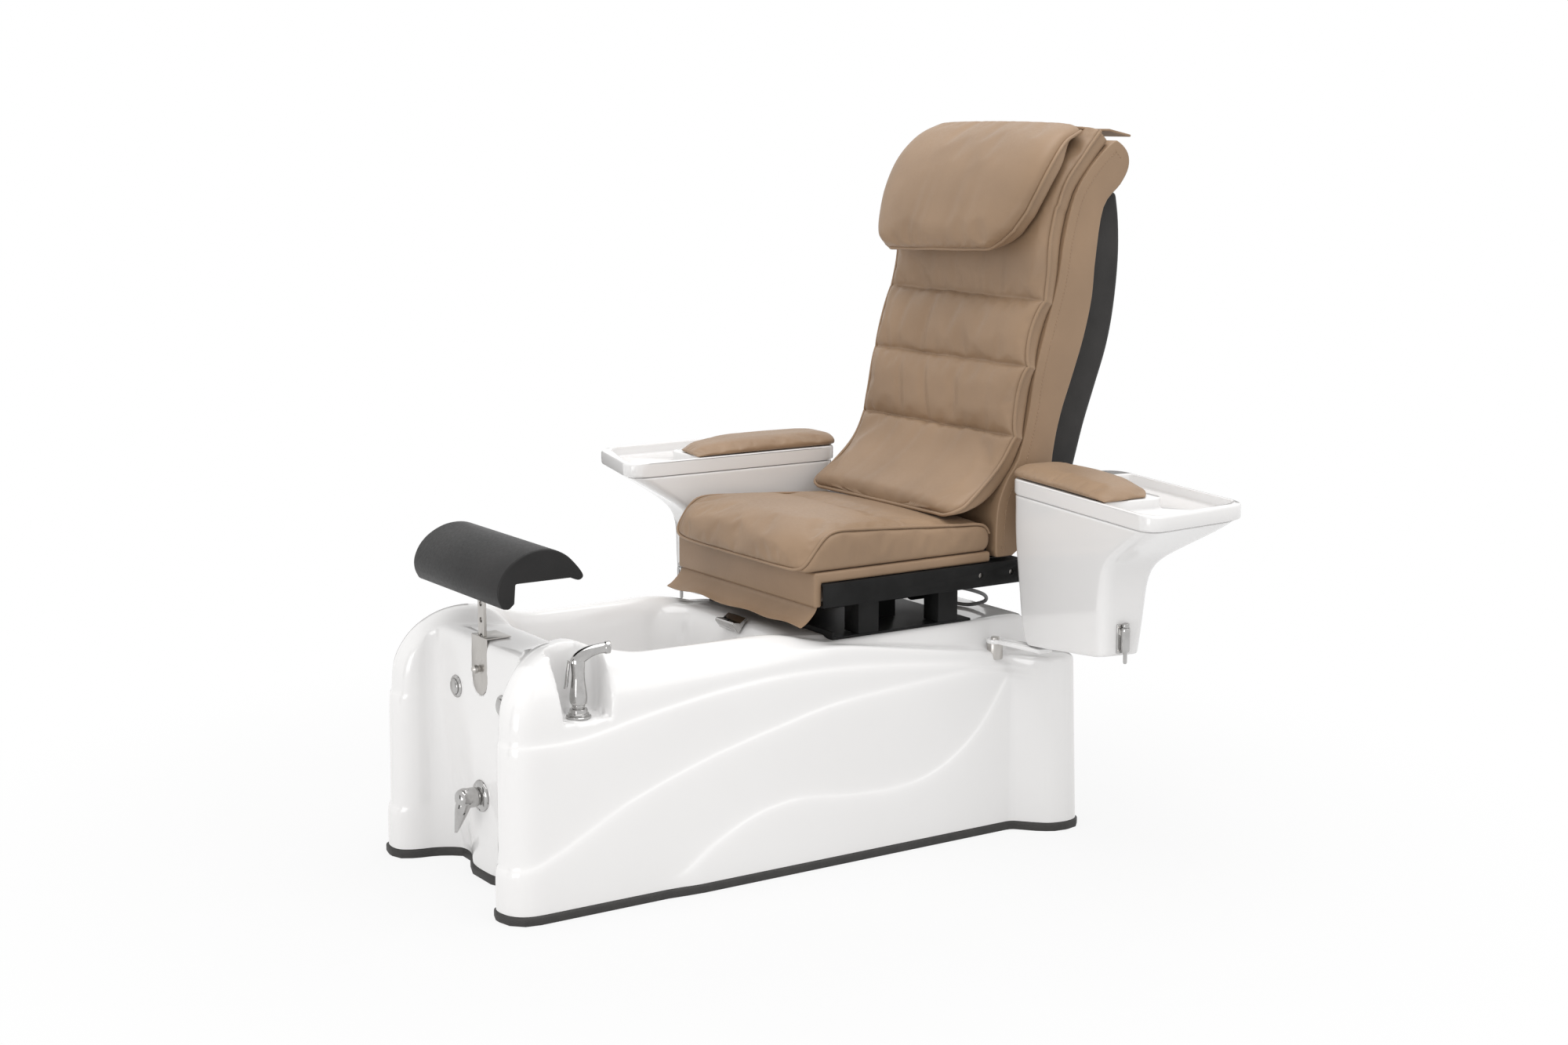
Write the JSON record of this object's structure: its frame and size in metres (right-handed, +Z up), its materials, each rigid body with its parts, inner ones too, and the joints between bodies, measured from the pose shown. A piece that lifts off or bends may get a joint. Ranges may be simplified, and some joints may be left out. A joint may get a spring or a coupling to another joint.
{
  "type": "electric pedicure spa chair",
  "caption": "Leather spa chair that slides and reclines on a white foot-bath base, with swing-out tray arms, an adjustable calf rest, a lever faucet and a pull-out hand sprayer.",
  "frame": {"origin": "on the floor, in the chair's middle plane, 0.64 m behind the front of the base's legs", "axes": "+Z up, -Y towards the chair's front, +X towards the side with the hand sprayer"},
  "size_m": [1.378, 1.5298, 1.4713],
  "materials": {
    "acrylic": "glossy white acrylic",
    "tan_leather": "soft tan synthetic leather, satin",
    "black_vinyl": "black vinyl, satin",
    "rubber": "matt black rubber",
    "board": "raw sealed board",
    "chrome": "polished chrome",
    "stainless": "brushed stainless steel",
    "brass": "machined brass",
    "black_metal": "black powder coat",
    "black_plastic": "textured black plastic",
    "grey_plastic": "grey plastic sheath"
  },
  "bodies": {
    "base": {"base_shell": "acrylic", "bottom_trim": "rubber", "base_board": "board", "waterfall_spout": "chrome", "footrest_bracket": "stainless", "faucet_escutcheon": "chrome", "mixing_valve": "brass", "sprayer_holder": "chrome", "left_button_bezel": "chrome", "right_button_bezel": "chrome", "drain_strainer": "stainless", "drain_pipe": "grey_plastic", "circulation_pump": "black_plastic", "deck_pan": "black_metal", "left_rail_frame": "black_metal", "right_rail_frame": "black_metal", "slide_actuator_body": "black_metal", "left_arm_pivot": "stainless", "right_arm_pivot": "stainless", "actuator_cable": "grey_plastic"},
    "seat_carriage": {"left_slider": "stainless", "right_slider": "stainless", "seat_base_panel": "tan_leather", "seat_cushion": "tan_leather", "seat_skirt": "tan_leather", "slide_actuator_rod": "stainless", "recline_actuator_body": "black_metal", "left_back_hinge": "black_metal", "right_back_hinge": "black_metal"},
    "backrest": {"back_frame": "black_metal", "back_body": "tan_leather", "back_shell": "black_plastic", "back_overlay": "tan_leather", "head_pillow": "tan_leather", "pillow_strap": "tan_leather"},
    "recline_rod": {"recline_actuator_rod": "stainless"},
    "left_arm": {"left_arm_console": "acrylic", "left_arm_tray": "acrylic", "left_arm_pad": "tan_leather", "left_swing_plate": "black_metal", "left_latch_housing": "chrome"},
    "right_arm": {"right_arm_console": "acrylic", "right_arm_tray": "acrylic", "right_arm_pad": "tan_leather", "right_swing_plate": "black_metal", "right_latch_housing": "chrome"},
    "left_latch": {"left_latch_bolt": "chrome"},
    "right_latch": {"right_latch_bolt": "chrome"},
    "footrest": {"footrest_post": "stainless", "footrest_pad": "black_vinyl"},
    "footrest_clamp": {"footrest_clamp_bolt": "stainless"},
    "faucet_handle": {"faucet_lever": "chrome"},
    "sprayer": {"hand_sprayer": "chrome"},
    "trigger": {"sprayer_trigger": "chrome"},
    "left_push_button": {"left_button": "chrome"},
    "right_push_button": {"right_button": "chrome"}
  },
  "joints": [
    {"name": "seat_slide", "type": "slide", "parent": "base", "child": "seat_carriage", "axis": [0, 1, 0], "range_m": [-0.12, 0]},
    {"name": "recline", "type": "hinge", "parent": "seat_carriage", "child": "backrest", "pos_m": [0, 0.54, 0.5853], "axis": [-1, 0, 0], "range_deg": [0, 40]},
    {"name": "recline_rod_slide", "type": "slide", "parent": "seat_carriage", "child": "recline_rod", "axis": [0, -1, 0], "range_m": [0, 0.07]},
    {"name": "left_arm_swing", "type": "hinge", "parent": "base", "child": "left_arm", "pos_m": [-0.275, 0.49, 0.406], "axis": [0, 0, -1], "range_deg": [0, 85]},
    {"name": "right_arm_swing", "type": "hinge", "parent": "base", "child": "right_arm", "pos_m": [0.275, 0.49, 0.406], "axis": [0, 0, 1], "range_deg": [-80.4, 5]},
    {"name": "left_latch_lift", "type": "slide", "parent": "left_arm", "child": "left_latch", "axis": [0, 0, 1], "range_m": [0, 0.015], "stiffness_N_per_m": 300, "springref_m": -0.005},
    {"name": "right_latch_lift", "type": "slide", "parent": "right_arm", "child": "right_latch", "axis": [0, 0, 1], "range_m": [0, 0.015], "stiffness_N_per_m": 300, "springref_m": -0.005},
    {"name": "footrest_height", "type": "slide", "parent": "base", "child": "footrest", "axis": [0, 0, 1], "range_m": [-0.045, 0]},
    {"name": "clamp_turn", "type": "hinge", "parent": "base", "child": "footrest_clamp", "pos_m": [0, -0.5633, 0.425], "axis": [0, -1, 0], "range_deg": [0, 180]},
    {"name": "faucet_turn", "type": "hinge", "parent": "base", "child": "faucet_handle", "pos_m": [0, -0.565, 0.17], "axis": [0, -1, 0], "range_deg": [-60, 60]},
    {"name": "sprayer_lift", "type": "slide", "parent": "base", "child": "sprayer", "axis": [0, 0, 1], "range_m": [0, 0.12]},
    {"name": "trigger_squeeze", "type": "hinge", "parent": "sprayer", "child": "trigger", "pos_m": [0.2449, -0.49822, 0.476], "axis": [0.9539, -0.3, 0], "range_deg": [0, 5], "stiffness_Nm_per_rad": 0.3, "springref_deg": -2.86},
    {"name": "left_button_push", "type": "slide", "parent": "base", "child": "left_push_button", "axis": [0, 1, 0], "range_m": [0, 0.004], "stiffness_N_per_m": 400, "springref_m": -0.001},
    {"name": "right_button_push", "type": "slide", "parent": "base", "child": "right_push_button", "axis": [0, 1, 0], "range_m": [0, 0.004], "stiffness_N_per_m": 400, "springref_m": -0.001}
  ],
  "couplings": [
    {"joint": "recline_rod_slide", "follows": "recline", "m_per_rad": 0.095}
  ]
}
